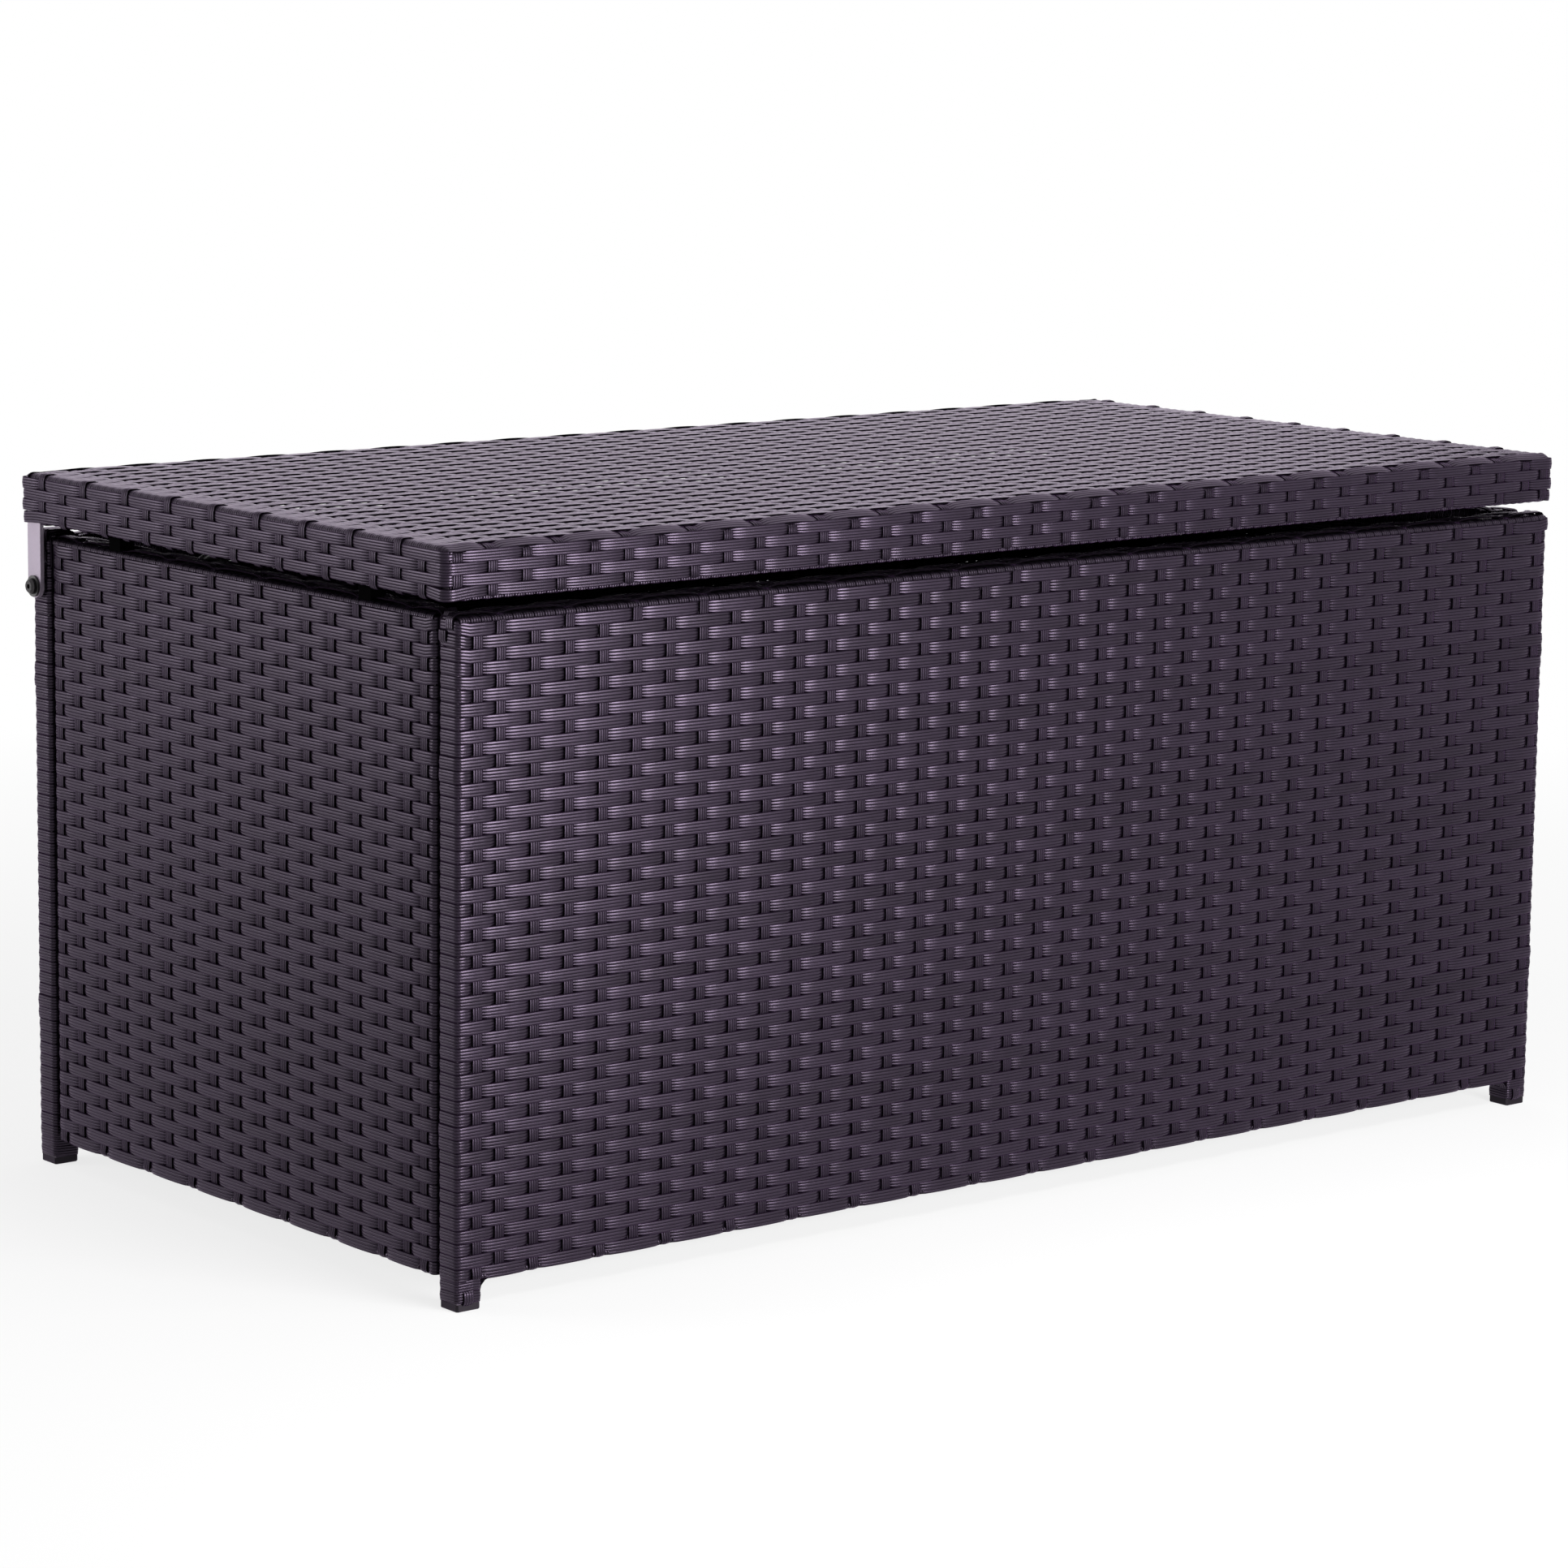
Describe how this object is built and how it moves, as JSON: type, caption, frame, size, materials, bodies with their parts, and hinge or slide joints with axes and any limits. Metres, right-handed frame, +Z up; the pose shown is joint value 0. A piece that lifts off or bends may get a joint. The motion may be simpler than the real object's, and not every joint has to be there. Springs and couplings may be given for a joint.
{
  "type": "deck storage box",
  "caption": "Woven outdoor storage box on a tube frame, with a woven lid that swings up on flat hinge arms and gas struts.",
  "frame": {"origin": "centre of the overall footprint, on the floor under the feet", "axes": "+X along the front to the right, -Y towards the front, +Z up"},
  "size_m": [1.2242, 0.618, 0.5922],
  "materials": {
    "woven_strand": "semi-gloss black-plum woven flat polyethylene strand with fine lengthwise ribs",
    "frame_tube": "black powder-coated aluminium tube",
    "foot_plastic": "moulded black plastic, satin",
    "hinge_arm": "satin grey flat bar",
    "hinge_black": "black nylon, satin",
    "bolt_black": "black oxide steel, satin",
    "zinc_fastener": "zinc-plated steel",
    "floor_board": "black plastic sheet, fine grain",
    "pad_rubber": "black rubber",
    "strut_bracket": "black painted steel plate",
    "strut_tube": "black painted steel, gloss",
    "strut_rod": "polished hard-chromed rod"
  },
  "bodies": {
    "box": {"front_posts": "frame_tube", "front_rails": "frame_tube", "front_weave": "woven_strand", "back_posts": "frame_tube", "back_rails": "frame_tube", "back_weave": "woven_strand", "left_stiles": "frame_tube", "left_rails": "frame_tube", "left_weave": "woven_strand", "right_stiles": "frame_tube", "right_rails": "frame_tube", "right_weave": "woven_strand", "joint_bolts": "zinc_fastener", "joint_spacers": "zinc_fastener", "joint_nuts": "zinc_fastener", "foot_caps": "foot_plastic", "leg_wraps": "woven_strand", "floor_tabs": "frame_tube", "floor_bearers": "frame_tube", "floor_panel": "floor_board", "rest_pads": "pad_rubber", "pivot_spacers": "hinge_black", "pivot_bolts": "bolt_black", "pivot_nuts": "zinc_fastener", "strut_base_brackets": "strut_bracket", "bracket_screws": "zinc_fastener"},
    "lid": {"lid_long_rails": "frame_tube", "lid_end_rails": "frame_tube", "lid_cross_tubes": "frame_tube", "lid_rim_long_bars": "frame_tube", "lid_rim_end_bars": "frame_tube", "lid_uprights": "frame_tube", "lid_top_weave": "woven_strand", "lid_front_skirt": "woven_strand", "lid_back_skirt": "woven_strand", "lid_left_skirt": "woven_strand", "lid_right_skirt": "woven_strand", "hinge_arms": "hinge_arm", "arm_bushes": "hinge_black", "strut_lid_brackets": "strut_bracket", "lid_bracket_screws": "zinc_fastener"},
    "left_strut_cylinder": {"left_strut_cylinder": "strut_tube"},
    "left_strut_rod": {"left_strut_rod": "strut_rod"},
    "right_strut_cylinder": {"right_strut_cylinder": "strut_tube"},
    "right_strut_rod": {"right_strut_rod": "strut_rod"}
  },
  "joints": [
    {"name": "lid_hinge", "type": "hinge", "parent": "box", "child": "lid", "pos_m": [0, 0.2926, 0.499], "axis": [-1, 0, 0], "range_deg": [0, 80]},
    {"name": "left_strut_swing", "type": "hinge", "parent": "box", "child": "left_strut_cylinder", "pos_m": [-0.56, 0.2526, 0.462], "axis": [-1, 0, 0], "range_deg": [0, 75.72]},
    {"name": "left_strut_slide", "type": "slide", "parent": "left_strut_cylinder", "child": "left_strut_rod", "axis": [0, -0.9033, 0.4291], "range_m": [0, 0.06748]},
    {"name": "right_strut_swing", "type": "hinge", "parent": "box", "child": "right_strut_cylinder", "pos_m": [0.56, 0.2526, 0.462], "axis": [-1, 0, 0], "range_deg": [0, 75.72]},
    {"name": "right_strut_slide", "type": "slide", "parent": "right_strut_cylinder", "child": "right_strut_rod", "axis": [0, -0.9033, 0.4291], "range_m": [0, 0.06748]}
  ],
  "couplings": [
    {"joint": "left_strut_swing", "follows": "lid_hinge", "ratio": 0.94576},
    {"joint": "left_strut_slide", "follows": "lid_hinge", "m_per_rad": 0.048259},
    {"joint": "right_strut_swing", "follows": "lid_hinge", "ratio": 0.94576},
    {"joint": "right_strut_slide", "follows": "lid_hinge", "m_per_rad": 0.048259}
  ]
}
